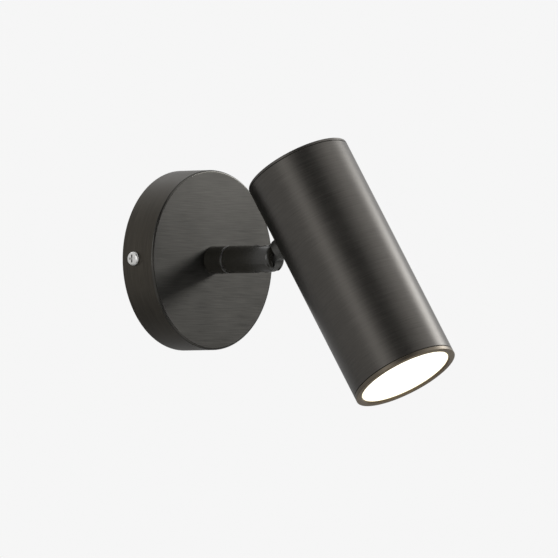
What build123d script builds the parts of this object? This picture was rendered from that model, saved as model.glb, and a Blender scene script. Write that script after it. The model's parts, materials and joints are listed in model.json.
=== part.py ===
"""Wall spotlight: a round canopy on a wall bracket, a short swivel arm and a tilting cylinder head.

Millimetres. The wall is the plane Y = 0, the light stands out from it along -Y, and +Z is up.
The origin is the middle of the canopy where it meets the wall.
"""
from build123d import *
import os
from math import cos, radians, sin, sqrt

os.makedirs("parts", exist_ok=True)

# How the head stands at rest, in degrees
PAN_AT_REST = 5.0
TILT_AT_REST = 30.8

# Room left between pieces
THREAD_ROOM = 0.05
SHANK_ROOM = 0.25
SLIP_ROOM = 0.1
RUNNING_ROOM = 0.04
FACE_ROOM = 0.05

# Pan heads and screw slots, as shares of the screw's diameter
HEAD_RADIUS_SHARE = 1.0
HEAD_HEIGHT_SHARE = 0.6
CROWN_SHARE = 0.39
RECESS_LENGTH_SHARE = 1.1
RECESS_WIDTH_SHARE = 0.27
RECESS_DEPTH_SHARE = 0.36
SLOT_WIDTH_SHARE = 0.2
SLOT_DEPTH_SHARE = 0.25

# Screws and lead wires
M3 = 3.0
M4 = 4.0
M10 = 10.0
NUT_ACROSS_FLATS = 14.0
NUT_THICKNESS = 4.0
LEAD_DIAMETER = 1.6
LEAD_PITCH = 1.8
LEAD_BEND = 3.0
LEAD_STRAIGHT = 2.0

# Canopy, a spun steel cup
CANOPY_DIAMETER = 100.0
CANOPY_DEPTH = 22.5
CANOPY_WALL = 1.2
CANOPY_EDGE = 1.1
RIM_SCREW_FROM_WALL = 9.2
RIM_SCREW_LENGTH = 6.0

# Wall bracket, a steel strap with two bent ears and a tab for the terminals
BRACKET_THICKNESS = 2.0
STRAP_LENGTH = 80.0
STRAP_WIDTH = 24.0
EAR_WIDTH = 12.0
EAR_MARGIN = 4.5
WALL_SLOT_SPACING = 60.0
WALL_SLOT_LENGTH = 12.0
WALL_SLOT_WIDTH = 4.5
EARTH_SCREW_X = 17.0
EYELET_RADIUS = 4.2
EYELET_THICKNESS = 0.8
EYELET_BARREL_RADIUS = 1.2
EYELET_BARREL_LENGTH = 4.0

# Grommet that the supply cable comes through
CABLE_BORE = 10.0
GROMMET_WALL = 3.0
GROMMET_LIP = 2.0
GROMMET_LIP_THICKNESS = 1.5

# Terminal block
POLE_PITCH = 10.0
BLOCK_SIDE_MARGIN = 4.5
BLOCK_HEIGHT = 17.0
BLOCK_DEPTH = 12.0
BLOCK_ABOVE_STRAP = 4.0
TAB_MARGIN = 1.0
CLAMP_DIAMETER = 5.0
CLAMP_BORE = 3.2
CLAMP_SETBACK = 1.0
CLAMP_ABOVE_TAB = 4.5
CLAMP_SCREW_SPACING = 8.0
CLAMP_SCREW_SINK = 1.5

# Nipple, its washer and nut, and the fixed collar of the swivel
NIPPLE_BORE = 7.0
NIPPLE_IN_COLLAR = 4.2
NIPPLE_PAST_NUT = 4.0
STAR_WASHER_DIAMETER = 18.0
STAR_WASHER_THICKNESS = 0.8
STAR_WASHER_TEETH = 12
STAR_WASHER_NOTCH = 2.0
ARM_DIAMETER = 15.4
COLLAR_LENGTH = 12.2
ARM_CHAMFER = 0.45
SPIGOT_DIAMETER = 7.0
RING_CHAMBER_DEPTH = 6.6
STOP_CHAMBER_DIAMETER = 10.8
STOP_CHAMBER_DEPTH = 2.2
STOP_PIN_DIAMETER = 1.2
STOP_PIN_SEAT = 2.0
STOP_PIN_TIP_ROOM = 0.5
SWIVEL_WASHER_THICKNESS = 0.8
SWIVEL_WASHER_INSET = 0.2
RETAINER_THICKNESS = 0.8
RETAINER_RIM_ROOM = 0.35
RETAINER_MOUTH = 3.0
RETAINER_GROOVE_DEPTH = 0.5
SPIGOT_PAST_RETAINER = 1.1

# Swivel arm with its fork
ARM_BORE = 4.4
PIVOT_FROM_WALL = 64.0
FORK_PAST_PIVOT = 6.0
FORK_ROUNDING = 2.8
SLOT_BEHIND_TONGUE = 1.3
PIVOT_HEAD_DIAMETER = 7.0
PIVOT_HEAD_HEIGHT = 2.2
PIVOT_HEAD_SINK = 2.5
PIVOT_SOCKET = 2.5
PIVOT_SOCKET_DEPTH = 1.4
PIVOT_THREAD_DEPTH = 3.0
FRICTION_WASHER_THICKNESS = 0.5
FRICTION_WASHER_DIAMETER = 12.0

# Knuckle between the fork and the head
TONGUE_DIAMETER = 15.0
TONGUE_THICKNESS = 5.4
TONGUE_NECK_WIDTH = 10.0
NECK_FROM_PIVOT = 9.6
NECK_DIAMETER = 12.0
KNUCKLE_BORE = 7.0
KNUCKLE_BORE_FROM_PIVOT = 12.0
HEAD_FROM_PIVOT = 17.6
OUTER_SADDLE_DIAMETER = 17.0
OUTER_SADDLE_THICKNESS = 1.6
INNER_SADDLE_DIAMETER = 16.0
INNER_SADDLE_THICKNESS = 2.0
STUB_PAST_NUT = 1.0

# Head
HEAD_DIAMETER = 60.0
HEAD_LENGTH = 137.0
HEAD_WALL = 1.5
TOP_END_ABOVE_PIVOT = 30.5
SEAM = 0.25
CAP_RIM = 1.5
CAP_EDGE = 0.5
CAP_SPIGOT_LENGTH = 7.5
CAP_SPIGOT_WALL = 2.0
BEZEL_BAND = 2.2
BEZEL_EDGE = 0.4
BEZEL_FACE_WIDTH = 4.0
BEZEL_LIP = 0.9
BEZEL_SPIGOT_LENGTH = 8.0
BEZEL_SPIGOT_WALL = 1.1
DIFFUSER_THICKNESS = 2.0
GASKET_WIDTH = 2.2
GASKET_THICKNESS = 1.0

# Light engine and driver inside the head
REFLECTOR_HEIGHT = 34.0
REFLECTOR_WALL = 1.0
REFLECTOR_FOOT_RADIUS = 12.0
REFLECTOR_FOOT_HEIGHT = 2.0
BOARD_DIAMETER = 40.0
BOARD_THICKNESS = 1.6
BOARD_SCREW_ROOM = 0.5
BOARD_SCREW_COUNT = 3
BOARD_SCREW_LENGTH = 6.0
LED_SIDE = 3.0
LED_THICKNESS = 0.7
LED_INSET = 4.5
LED_RING_COUNT = 8
SINK_BASE = 6.0
SINK_HUB_DIAMETER = 14.0
SINK_FIN_COUNT = 16
SINK_FIN_THICKNESS = 1.4
SINK_FIN_INSET = 1.5
LED_LEAD_RADIUS = 16.5
LED_LEAD_HOLE = 4.4
SHELF_THICKNESS = 1.5
SHELF_WIDTH = 20.0
SHELF_SCREW_LENGTH = 8.0
DRIVER_WIDTH = 28.0
DRIVER_DEPTH = 22.0
DRIVER_LENGTH = 44.0
DRIVER_EDGE = 2.0
DRIVER_BACK = 10.0
DRIVER_ABOVE_SHELF = 8.0
DRIVER_LEAD_ROOM = 10.5
DRIVER_SCREW_INSET = 8.0
DRIVER_SCREW_LENGTH = 6.0
DRIVER_LID = 1.6
SHELF_PAST_SCREW = 4.0

# Sizes that follow from those above
CANOPY_RADIUS = CANOPY_DIAMETER / 2
CANOPY_BORE_RADIUS = CANOPY_RADIUS - CANOPY_WALL
CANOPY_INSIDE = CANOPY_DEPTH - CANOPY_WALL
HEAD_RADIUS = HEAD_DIAMETER / 2
HEAD_BORE_RADIUS = HEAD_RADIUS - HEAD_WALL
BEZEL_OPENING = HEAD_DIAMETER - 2 * BEZEL_FACE_WIDTH
ARM_RADIUS = ARM_DIAMETER / 2
EAR_FACE = sqrt(CANOPY_BORE_RADIUS**2 - (EAR_WIDTH / 2) ** 2) - SHANK_ROOM
BLOCK_MIDDLE = STRAP_WIDTH / 2 + BLOCK_ABOVE_STRAP + BLOCK_HEIGHT / 2
BLOCK_WIDTH = 2 * (POLE_PITCH + BLOCK_SIDE_MARGIN)
BLOCK_TOP = BRACKET_THICKNESS + BLOCK_DEPTH
BLOCK_SCREWS = [(-POLE_PITCH / 2, BLOCK_MIDDLE), (POLE_PITCH / 2, BLOCK_MIDDLE)]
POLES = [(-POLE_PITCH, BLOCK_MIDDLE), (0, BLOCK_MIDDLE), (POLE_PITCH, BLOCK_MIDDLE)]
CLAMP_SCREWS = [
    (x, y + offset) for x, y in POLES for offset in (-CLAMP_SCREW_SPACING / 2, CLAMP_SCREW_SPACING / 2)
]
CLAMP_HEIGHT = BRACKET_THICKNESS + CLAMP_ABOVE_TAB
COLLAR_FACE = CANOPY_DEPTH + COLLAR_LENGTH
STOP_FLOOR = COLLAR_FACE - STOP_CHAMBER_DEPTH
STOP_PIN_CIRCLE = (SPIGOT_DIAMETER + STOP_CHAMBER_DIAMETER) / 4
RETAINER_DIAMETER = M10 + 2 * (THREAD_ROOM - RETAINER_RIM_ROOM)
RETAINER_SHOULDER = CANOPY_DEPTH + RING_CHAMBER_DEPTH
RETAINER_START = RETAINER_SHOULDER - FACE_ROOM - RETAINER_THICKNESS
SPIGOT_END = RETAINER_START - SPIGOT_PAST_RETAINER
ARM_START = COLLAR_FACE + SWIVEL_WASHER_THICKNESS + 2 * FACE_ROOM
ARM_END = PIVOT_FROM_WALL + FORK_PAST_PIVOT
SLOT_WIDTH = TONGUE_THICKNESS + 2 * FRICTION_WASHER_THICKNESS + 4 * FACE_ROOM
SLOT_BOTTOM = PIVOT_FROM_WALL - TONGUE_DIAMETER / 2 - SLOT_BEHIND_TONGUE
HEAD_AXIS_FROM_PIVOT = HEAD_FROM_PIVOT + HEAD_RADIUS
OUTER_SADDLE_SEAT = HEAD_FROM_PIVOT - OUTER_SADDLE_THICKNESS
INNER_SADDLE_SEAT = HEAD_FROM_PIVOT + HEAD_WALL + INNER_SADDLE_THICKNESS
STUB_END = INNER_SADDLE_SEAT + NUT_THICKNESS + STUB_PAST_NUT
TUBE_START = CAP_RIM + SEAM
TUBE_END = HEAD_LENGTH - BEZEL_BAND - SEAM
DIFFUSER_RADIUS = HEAD_BORE_RADIUS - BEZEL_SPIGOT_WALL - 2 * SLIP_ROOM
DIFFUSER_FRONT = HEAD_LENGTH - BEZEL_LIP
DIFFUSER_BACK = DIFFUSER_FRONT - DIFFUSER_THICKNESS
REFLECTOR_FRONT = DIFFUSER_BACK - GASKET_THICKNESS
BOARD_FRONT = REFLECTOR_FRONT - REFLECTOR_HEIGHT
BOARD_BACK = BOARD_FRONT - BOARD_THICKNESS
BOARD_SCREW_HEAD_RADIUS = HEAD_RADIUS_SHARE * M3
REFLECTOR_FOOT_OUTSIDE = REFLECTOR_FOOT_RADIUS + REFLECTOR_WALL
BOARD_SCREW_CIRCLE = 2 * (REFLECTOR_FOOT_OUTSIDE + BOARD_SCREW_ROOM + BOARD_SCREW_HEAD_RADIUS)
LED_CIRCLE = 2 * (REFLECTOR_FOOT_RADIUS - LED_INSET)
DRIVER_REAR = CAP_RIM + DRIVER_LEAD_ROOM
DRIVER_FRONT = DRIVER_REAR + DRIVER_LENGTH
SHELF_BACK = DRIVER_FRONT + DRIVER_ABOVE_SHELF
FIN_END = SHELF_BACK + SHELF_THICKNESS
SINK_BACK = BOARD_BACK - SINK_BASE
SINK_FIN_LENGTH = SINK_BACK - FIN_END


def along(frame, direction):
    """A direction given in a frame's own axes, as a vector in the part's axes."""
    return frame.from_local_coords(Vector(*direction)) - frame.origin


def plane_in(frame, point, x_dir, z_dir):
    """A plane placed and turned in a frame's own axes."""
    origin = frame.from_local_coords(Vector(*point))
    return Plane(origin=origin, x_dir=along(frame, x_dir), z_dir=along(frame, z_dir))


def section(frame):
    """A frame's lengthwise section: sketch x is the radius and sketch y runs along the frame's z."""
    return plane_in(frame, (0, 0, 0), (1, 0, 0), (0, -1, 0))


def side(frame, point):
    """A plane across a frame's x: sketch x is the frame's y and sketch y is the frame's z."""
    return plane_in(frame, point, (0, 1, 0), (1, 0, 0))


def turned(frame, outline):
    """A solid of revolution about a frame's z, from corners given as radius and height."""
    with BuildPart() as piece:
        with BuildSketch(section(frame)):
            with BuildLine():
                Polyline(*outline, close=True)
            make_face()
        revolve(axis=Axis(frame.origin, frame.z_dir))
    return piece.part


def sleeve(frame, bore_radius, radius, start, end):
    """A plain tube about a frame's z."""
    return turned(frame, [(bore_radius, start), (radius, start), (radius, end), (bore_radius, end)])


def rod(frame, radius, start, end):
    """A plain round bar about a frame's z."""
    return turned(frame, [(0, start), (radius, start), (radius, end), (0, end)])


def pan_screw(seat, diameter, length):
    """A cross-recessed pan-head screw: the head stands on the seat plane and the shank goes below it."""
    head_height = HEAD_HEIGHT_SHARE * diameter
    recess_length = RECESS_LENGTH_SHARE * diameter
    recess_width = RECESS_WIDTH_SHARE * diameter
    with BuildPart() as screw:
        with BuildSketch(seat):
            Circle(HEAD_RADIUS_SHARE * diameter)
        extrude(amount=head_height)
        crown = screw.faces().sort_by(Axis(seat.origin, seat.z_dir))[-1]
        fillet(crown.edges(), CROWN_SHARE * diameter)
        with BuildSketch(seat):
            Circle(diameter / 2)
        extrude(amount=-length)
        with BuildSketch(seat.offset(head_height)):
            Rectangle(recess_length, recess_width)
            Rectangle(recess_width, recess_length)
        extrude(amount=-RECESS_DEPTH_SHARE * diameter, mode=Mode.SUBTRACT)
    return screw.part


def hex_nut(frame, start):
    """A thin M10 nut about a frame's z."""
    with BuildPart() as nut:
        with BuildSketch(frame.offset(start)):
            RegularPolygon(NUT_ACROSS_FLATS / 2, 6, major_radius=False)
            Circle(M10 / 2 + THREAD_ROOM, mode=Mode.SUBTRACT)
        extrude(amount=NUT_THICKNESS)
    return nut.part


def lead(frame, points, bend):
    """An insulated wire along straight runs joined by arcs."""
    route = [frame.from_local_coords(Vector(*point)) for point in points]
    with BuildPart() as wire:
        with BuildLine() as path:
            FilletPolyline(*route, radius=bend)
        with BuildSketch(Plane(origin=path.line @ 0, z_dir=path.line % 0)):
            Circle(LEAD_DIAMETER / 2)
        sweep()
    return wire.part


def save(piece, name):
    """Labels a finished piece and writes it."""
    piece.part.label = name
    export_step(piece.part, f"parts/{name}.step")


# Frames: z runs out from the wall, along the knuckle's neck, or along the light beam
WALL = Plane(origin=(0, 0, 0), x_dir=(1, 0, 0), z_dir=(0, -1, 0))
PAN = radians(PAN_AT_REST)
TILT = radians(TILT_AT_REST)
ARM = plane_in(WALL, (0, 0, 0), (cos(PAN), sin(PAN), 0), (0, 0, 1))
PIVOT = plane_in(ARM, (0, 0, PIVOT_FROM_WALL), (1, 0, 0), (0, 0, 1))
KNUCKLE = plane_in(PIVOT, (0, 0, 0), (1, 0, 0), (0, sin(TILT), cos(TILT)))
HEAD = plane_in(KNUCKLE, (0, TOP_END_ABOVE_PIVOT, HEAD_AXIS_FROM_PIVOT), (1, 0, 0), (0, -1, 0))


def pole_frame(x, y):
    """A frame at the middle of a terminal pole, with z running down the pole."""
    return plane_in(WALL, (x, y, CLAMP_HEIGHT), (1, 0, 0), (0, -1, 0))


# Canopy: a cup with a hole for the nipple and two screw holes in its rim
with BuildPart() as canopy:
    with BuildSketch(section(WALL)):
        with BuildLine():
            Polyline(
                (CANOPY_BORE_RADIUS, 0),
                (CANOPY_RADIUS, 0),
                (CANOPY_RADIUS, CANOPY_DEPTH),
                (M10 / 2 + SLIP_ROOM, CANOPY_DEPTH),
                (M10 / 2 + SLIP_ROOM, CANOPY_INSIDE),
                (CANOPY_BORE_RADIUS, CANOPY_INSIDE),
                close=True,
            )
        make_face()
    revolve(axis=Axis(WALL.origin, WALL.z_dir))
    front = canopy.faces().sort_by(Axis.Y)[0]
    fillet(front.outer_wire().edges(), CANOPY_EDGE)
    with BuildSketch(side(WALL, (0, 0, 0))):
        with Locations((0, RIM_SCREW_FROM_WALL)):
            Circle(M4 / 2 + SHANK_ROOM)
    extrude(amount=CANOPY_DIAMETER, both=True, mode=Mode.SUBTRACT)
save(canopy, "canopy")

# Wall bracket
with BuildPart() as wall_bracket:
    with BuildSketch(WALL):
        Rectangle(2 * EAR_FACE, EAR_WIDTH)
        Rectangle(STRAP_LENGTH, STRAP_WIDTH)
        with Locations((0, STRAP_WIDTH / 2)):
            Rectangle(
                BLOCK_WIDTH + 2 * TAB_MARGIN,
                BLOCK_ABOVE_STRAP + BLOCK_HEIGHT + TAB_MARGIN,
                align=(Align.CENTER, Align.MIN),
            )
        Circle(CABLE_BORE / 2 + GROMMET_WALL, mode=Mode.SUBTRACT)
        with Locations((-WALL_SLOT_SPACING / 2, 0), (WALL_SLOT_SPACING / 2, 0)):
            SlotOverall(WALL_SLOT_LENGTH, WALL_SLOT_WIDTH, mode=Mode.SUBTRACT)
        with Locations((EARTH_SCREW_X, 0)):
            Circle(M4 / 2 + THREAD_ROOM, mode=Mode.SUBTRACT)
        with Locations(*BLOCK_SCREWS):
            Circle(M3 / 2 + THREAD_ROOM, mode=Mode.SUBTRACT)
    extrude(amount=BRACKET_THICKNESS)
    for end in (-1, 1):
        with BuildSketch(WALL):
            with Locations((end * (EAR_FACE - BRACKET_THICKNESS / 2), 0)):
                Rectangle(BRACKET_THICKNESS, EAR_WIDTH)
        extrude(amount=RIM_SCREW_FROM_WALL + EAR_MARGIN)
    with BuildSketch(side(WALL, (0, 0, 0))):
        with Locations((0, RIM_SCREW_FROM_WALL)):
            Circle(M4 / 2 + THREAD_ROOM)
    extrude(amount=CANOPY_RADIUS, both=True, mode=Mode.SUBTRACT)
save(wall_bracket, "wall_bracket")

# Rim screws, one each side, through the canopy into the bracket's ears
with BuildPart() as rim_screws:
    for end in (-1, 1):
        rim_seat = plane_in(WALL, (end * CANOPY_RADIUS, 0, RIM_SCREW_FROM_WALL), (0, 1, 0), (end, 0, 0))
        add(pan_screw(rim_seat, M4, RIM_SCREW_LENGTH))
save(rim_screws, "rim_screws")

# Rubber grommet in the bracket's cable hole
with BuildPart() as cable_grommet:
    grommet_radius = CABLE_BORE / 2 + GROMMET_WALL
    grommet_top = BRACKET_THICKNESS + GROMMET_LIP_THICKNESS
    add(
        turned(
            WALL,
            [
                (CABLE_BORE / 2, 0),
                (grommet_radius - THREAD_ROOM, 0),
                (grommet_radius - THREAD_ROOM, BRACKET_THICKNESS),
                (grommet_radius + GROMMET_LIP, BRACKET_THICKNESS),
                (grommet_radius + GROMMET_LIP, grommet_top),
                (CABLE_BORE / 2, grommet_top),
            ],
        )
    )
save(cable_grommet, "cable_grommet")

# Terminal block: a moulded body with a clamp tube for each pole
with BuildPart() as terminal_block:
    with BuildSketch(WALL.offset(BRACKET_THICKNESS)):
        with Locations((0, BLOCK_MIDDLE)):
            Rectangle(BLOCK_WIDTH, BLOCK_HEIGHT)
        with Locations(*BLOCK_SCREWS):
            Circle(M3 / 2 + SHANK_ROOM, mode=Mode.SUBTRACT)
    extrude(amount=BLOCK_DEPTH)
    with BuildSketch(WALL.offset(BLOCK_TOP)):
        with Locations(*CLAMP_SCREWS):
            Circle(M3 / 2 + SHANK_ROOM)
    extrude(amount=CLAMP_HEIGHT - BLOCK_TOP, mode=Mode.SUBTRACT)
    for pole in POLES:
        add(
            rod(pole_frame(*pole), CLAMP_DIAMETER / 2 + THREAD_ROOM, -BLOCK_HEIGHT, BLOCK_HEIGHT),
            mode=Mode.SUBTRACT,
        )
save(terminal_block, "terminal_block")

with BuildPart() as terminal_clamps:
    clamp_reach = BLOCK_HEIGHT / 2 - CLAMP_SETBACK
    for pole in POLES:
        add(sleeve(pole_frame(*pole), CLAMP_BORE / 2, CLAMP_DIAMETER / 2, -clamp_reach, clamp_reach))
    with BuildSketch(WALL.offset(CLAMP_HEIGHT)):
        with Locations(*CLAMP_SCREWS):
            Circle(M3 / 2 + THREAD_ROOM)
    extrude(amount=CLAMP_DIAMETER, mode=Mode.SUBTRACT)
save(terminal_clamps, "terminal_clamps")

with BuildPart() as terminal_screws:
    screw_tip = CLAMP_HEIGHT + LEAD_DIAMETER / 2 + FACE_ROOM
    screw_top = BLOCK_TOP - CLAMP_SCREW_SINK
    with BuildSketch(WALL.offset(screw_tip)):
        with Locations(*CLAMP_SCREWS):
            Circle(M3 / 2)
    extrude(amount=screw_top - screw_tip)
    with BuildSketch(WALL.offset(screw_top)):
        with Locations(*CLAMP_SCREWS):
            Rectangle(M3, SLOT_WIDTH_SHARE * M3)
    extrude(amount=-SLOT_DEPTH_SHARE * M3, mode=Mode.SUBTRACT)
save(terminal_screws, "terminal_screws")

with BuildPart() as block_screws:
    for x, y in BLOCK_SCREWS:
        add(pan_screw(plane_in(WALL, (x, y, BLOCK_TOP), (1, 0, 0), (0, 0, 1)), M3, BLOCK_TOP - FACE_ROOM))
save(block_screws, "block_screws")

# Earth screw on the strap, with the eyelet of its lead under the head
EARTH_SEAT = BRACKET_THICKNESS + EYELET_THICKNESS
with BuildPart() as earth_screw:
    earth_plane = plane_in(WALL, (EARTH_SCREW_X, 0, EARTH_SEAT), (1, 0, 0), (0, 0, 1))
    add(pan_screw(earth_plane, M4, EARTH_SEAT - FACE_ROOM))
save(earth_screw, "earth_screw")

with BuildPart() as earth_lead:
    with BuildSketch(WALL.offset(BRACKET_THICKNESS)):
        with Locations((EARTH_SCREW_X, 0)):
            Circle(EYELET_RADIUS)
        with Locations((EARTH_SCREW_X, EYELET_RADIUS)):
            Rectangle(2 * EYELET_BARREL_RADIUS, EYELET_BARREL_LENGTH)
        with Locations((EARTH_SCREW_X, 0)):
            Circle(M4 / 2 + SHANK_ROOM, mode=Mode.SUBTRACT)
    extrude(amount=EYELET_THICKNESS)
    barrel_height = BRACKET_THICKNESS + EYELET_BARREL_RADIUS
    barrel_start = M4 + SHANK_ROOM
    barrel_end = EYELET_RADIUS + EYELET_BARREL_LENGTH
    barrel_frame = plane_in(WALL, (EARTH_SCREW_X, 0, barrel_height), (1, 0, 0), (0, 1, 0))
    add(rod(barrel_frame, EYELET_BARREL_RADIUS, barrel_start, barrel_end))
    pole_x, pole_y = POLES[2]
    add(
        lead(
            WALL,
            [
                (EARTH_SCREW_X, barrel_start, barrel_height),
                (EARTH_SCREW_X, STRAP_WIDTH / 2, barrel_height),
                (pole_x, STRAP_WIDTH / 2, CLAMP_HEIGHT),
                (pole_x, pole_y, CLAMP_HEIGHT),
            ],
            LEAD_DIAMETER,
        )
    )
save(earth_lead, "earth_lead")

# Hollow nipple that ties the collar to the canopy, with its star washer and nut
WASHER_BACK = CANOPY_INSIDE - STAR_WASHER_THICKNESS
NUT_BACK = WASHER_BACK - NUT_THICKNESS
NIPPLE_START = NUT_BACK - NIPPLE_PAST_NUT
with BuildPart() as nipple:
    add(sleeve(WALL, NIPPLE_BORE / 2, M10 / 2, NIPPLE_START, CANOPY_DEPTH + NIPPLE_IN_COLLAR))
save(nipple, "nipple")

with BuildPart() as star_washer:
    with BuildSketch(WALL.offset(WASHER_BACK)):
        Circle(STAR_WASHER_DIAMETER / 2)
        Circle(M10 / 2 + SHANK_ROOM, mode=Mode.SUBTRACT)
        with PolarLocations(STAR_WASHER_DIAMETER / 2, STAR_WASHER_TEETH):
            Rectangle(STAR_WASHER_NOTCH, STAR_WASHER_NOTCH, mode=Mode.SUBTRACT)
    extrude(amount=STAR_WASHER_THICKNESS)
save(star_washer, "star_washer")

with BuildPart() as nipple_nut:
    add(hex_nut(WALL, NUT_BACK))
save(nipple_nut, "nipple_nut")

# Fixed collar: the nipple screws in behind, and the arm's spigot turns in its front
JOURNAL_RADIUS = SPIGOT_DIAMETER / 2 + RUNNING_ROOM
with BuildPart() as base_collar:
    add(
        turned(
            WALL,
            [
                (M10 / 2 + THREAD_ROOM, CANOPY_DEPTH),
                (ARM_RADIUS, CANOPY_DEPTH),
                (ARM_RADIUS, COLLAR_FACE - ARM_CHAMFER),
                (ARM_RADIUS - ARM_CHAMFER, COLLAR_FACE),
                (STOP_CHAMBER_DIAMETER / 2, COLLAR_FACE),
                (STOP_CHAMBER_DIAMETER / 2, STOP_FLOOR),
                (JOURNAL_RADIUS, STOP_FLOOR),
                (JOURNAL_RADIUS, RETAINER_SHOULDER),
                (M10 / 2 + THREAD_ROOM, RETAINER_SHOULDER),
            ],
        )
    )
    with BuildSketch(WALL.offset(STOP_FLOOR)):
        with Locations((0, -STOP_PIN_CIRCLE)):
            Circle(STOP_PIN_DIAMETER / 2 + THREAD_ROOM)
    extrude(amount=-STOP_PIN_SEAT, mode=Mode.SUBTRACT)
save(base_collar, "base_collar")

with BuildPart() as collar_stop_pin:
    with BuildSketch(WALL.offset(STOP_FLOOR - STOP_PIN_SEAT)):
        with Locations((0, -STOP_PIN_CIRCLE)):
            Circle(STOP_PIN_DIAMETER / 2)
    extrude(amount=ARM_START - STOP_PIN_TIP_ROOM - STOP_FLOOR + STOP_PIN_SEAT)
save(collar_stop_pin, "collar_stop_pin")

# Supply leads: from two poles through the nipple and the collar, and along the arm's axis to the fork
with BuildPart() as supply_leads:
    for pole, lead_x in ((POLES[0], -LEAD_PITCH / 2), (POLES[1], LEAD_PITCH / 2)):
        pole_x, pole_y = pole
        add(
            lead(
                WALL,
                [
                    (pole_x, pole_y, CLAMP_HEIGHT),
                    (pole_x, STRAP_WIDTH / 2, CLAMP_HEIGHT),
                    (lead_x, 0, CLAMP_HEIGHT),
                    (lead_x, 0, SLOT_BOTTOM),
                ],
                LEAD_BEND,
            )
        )
save(supply_leads, "supply_leads")

# Swivel arm: a spigot in the collar, a round barrel and a fork for the knuckle
with BuildPart() as swivel_arm:
    with BuildSketch(section(ARM)):
        with BuildLine():
            Polyline(
                (ARM_BORE / 2, SPIGOT_END),
                (SPIGOT_DIAMETER / 2, SPIGOT_END),
                (SPIGOT_DIAMETER / 2, ARM_START),
                (ARM_RADIUS - ARM_CHAMFER, ARM_START),
                (ARM_RADIUS, ARM_START + ARM_CHAMFER),
                (ARM_RADIUS, ARM_END - FORK_ROUNDING),
            )
            RadiusArc(
                (ARM_RADIUS, ARM_END - FORK_ROUNDING),
                (ARM_RADIUS - FORK_ROUNDING, ARM_END),
                -FORK_ROUNDING,
            )
            Polyline(
                (ARM_RADIUS - FORK_ROUNDING, ARM_END),
                (ARM_BORE / 2, ARM_END),
                (ARM_BORE / 2, SPIGOT_END),
            )
        make_face()
    revolve(axis=Axis(ARM.origin, ARM.z_dir))
    with BuildSketch(ARM.offset(SLOT_BOTTOM)):
        Rectangle(SLOT_WIDTH, ARM_DIAMETER)
    extrude(amount=ARM_END, mode=Mode.SUBTRACT)
    groove_radius = SPIGOT_DIAMETER / 2 - RETAINER_GROOVE_DEPTH
    add(
        sleeve(
            ARM,
            groove_radius,
            SPIGOT_DIAMETER,
            RETAINER_START - FACE_ROOM,
            RETAINER_START + RETAINER_THICKNESS + FACE_ROOM,
        ),
        mode=Mode.SUBTRACT,
    )
    pin_end = SLOT_WIDTH / 2 + PIVOT_THREAD_DEPTH
    pin_hole = plane_in(PIVOT, (0, 0, 0), (0, 1, 0), (1, 0, 0))
    head_seat = ARM_RADIUS - PIVOT_HEAD_SINK
    add(rod(pin_hole, M4 / 2 + THREAD_ROOM, -pin_end, ARM_RADIUS), mode=Mode.SUBTRACT)
    add(rod(pin_hole, PIVOT_HEAD_DIAMETER / 2 + SLIP_ROOM, head_seat, ARM_DIAMETER), mode=Mode.SUBTRACT)
    with BuildSketch(ARM.offset(ARM_START)):
        with Locations((0, STOP_PIN_CIRCLE)):
            Circle(STOP_PIN_DIAMETER / 2 + THREAD_ROOM)
    extrude(amount=STOP_PIN_SEAT, mode=Mode.SUBTRACT)
save(swivel_arm, "swivel_arm")

with BuildPart() as arm_stop_pin:
    with BuildSketch(ARM.offset(STOP_FLOOR + STOP_PIN_TIP_ROOM)):
        with Locations((0, STOP_PIN_CIRCLE)):
            Circle(STOP_PIN_DIAMETER / 2)
    extrude(amount=ARM_START + STOP_PIN_SEAT - STOP_FLOOR - STOP_PIN_TIP_ROOM)
save(arm_stop_pin, "arm_stop_pin")

with BuildPart() as swivel_washer:
    washer_start = COLLAR_FACE + FACE_ROOM
    add(
        sleeve(
            ARM,
            STOP_CHAMBER_DIAMETER / 2,
            ARM_RADIUS - SWIVEL_WASHER_INSET,
            washer_start,
            washer_start + SWIVEL_WASHER_THICKNESS,
        )
    )
save(swivel_washer, "swivel_washer")

with BuildPart() as retaining_ring:
    with BuildSketch(ARM.offset(RETAINER_START)):
        Circle(RETAINER_DIAMETER / 2)
        Circle(groove_radius + THREAD_ROOM, mode=Mode.SUBTRACT)
        Rectangle(RETAINER_MOUTH, RETAINER_DIAMETER, align=(Align.CENTER, Align.MAX), mode=Mode.SUBTRACT)
    extrude(amount=RETAINER_THICKNESS)
save(retaining_ring, "retaining_ring")

# Pivot screw: its head is sunk in one cheek and its thread ends blind in the other
with BuildPart() as pivot_screw:
    add(
        turned(
            pin_hole,
            [
                (0, FACE_ROOM - pin_end),
                (M4 / 2, FACE_ROOM - pin_end),
                (M4 / 2, head_seat),
                (PIVOT_HEAD_DIAMETER / 2, head_seat),
                (PIVOT_HEAD_DIAMETER / 2, head_seat + PIVOT_HEAD_HEIGHT),
                (0, head_seat + PIVOT_HEAD_HEIGHT),
            ],
        )
    )
    with BuildSketch(pin_hole.offset(head_seat + PIVOT_HEAD_HEIGHT)):
        RegularPolygon(PIVOT_SOCKET / 2, 6, major_radius=False)
    extrude(amount=-PIVOT_SOCKET_DEPTH, mode=Mode.SUBTRACT)
save(pivot_screw, "pivot_screw")

with BuildPart() as friction_washers:
    washer_inner_face = TONGUE_THICKNESS / 2 + FACE_ROOM
    for end in (-1, 1):
        add(
            sleeve(
                pin_hole,
                M4 / 2 + THREAD_ROOM,
                FRICTION_WASHER_DIAMETER / 2,
                end * washer_inner_face,
                end * (washer_inner_face + FRICTION_WASHER_THICKNESS),
            )
        )
save(friction_washers, "friction_washers")

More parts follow.
